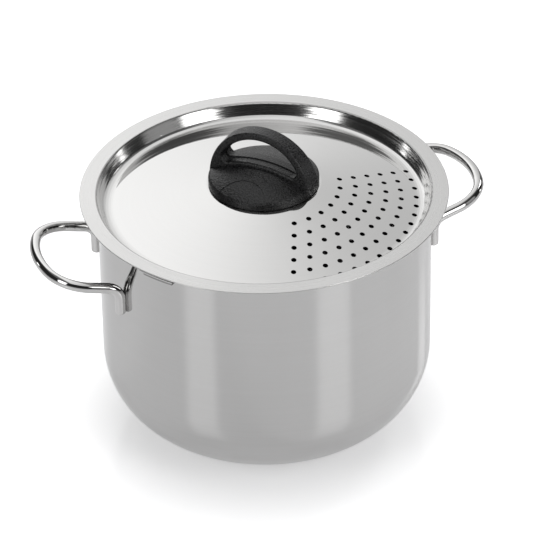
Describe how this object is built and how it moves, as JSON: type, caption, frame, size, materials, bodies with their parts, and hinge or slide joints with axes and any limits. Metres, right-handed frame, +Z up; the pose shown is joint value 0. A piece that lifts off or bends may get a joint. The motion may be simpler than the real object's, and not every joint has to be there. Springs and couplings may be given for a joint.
{
  "type": "pasta pot with strainer lid",
  "caption": "Stainless steel pasta pot with wire side handles and a recessed strainer lid that drops on, turns to lock and drains through a sector of holes.",
  "frame": {"origin": "middle of the base's underside, on the pot's axis", "axes": "+Z up along the pot's axis, the two handles along X and swung slightly towards +Y, the pouring side towards -Y"},
  "size_m": [0.3122, 0.2424, 0.2183],
  "materials": {
    "pot_steel": "brushed round the wall",
    "base_aluminium": "plain",
    "base_steel": "brushed in rings",
    "handle_steel": "polished",
    "lid_steel": "polished cone and wall, satin brim",
    "hook_steel": "satin",
    "knob_plastic": "fine matte moulding",
    "insert_brass": "turned",
    "screw_steel": "plain"
  },
  "bodies": {
    "pot": {"pot_body": "pot_steel", "base_core": "base_aluminium", "base_cap": "base_steel", "left_handle": "handle_steel", "right_handle": "handle_steel"},
    "washer": {"knob_washer": "screw_steel"},
    "lid": {"strainer_lid": "lid_steel", "left_hook": "hook_steel", "right_hook": "hook_steel", "lid_knob": "knob_plastic", "knob_insert": "insert_brass", "knob_screw": "screw_steel"}
  },
  "joints": [
    {"name": "lid_lift", "type": "slide", "parent": "pot", "child": "washer", "axis": [0, 0, 1], "range_m": [0, 0.08]},
    {"name": "lid_turn", "type": "hinge", "parent": "washer", "child": "lid", "pos_m": [0, 0, 0.1735], "axis": [0, 0, 1], "range_deg": [-39.8, 0]}
  ]
}
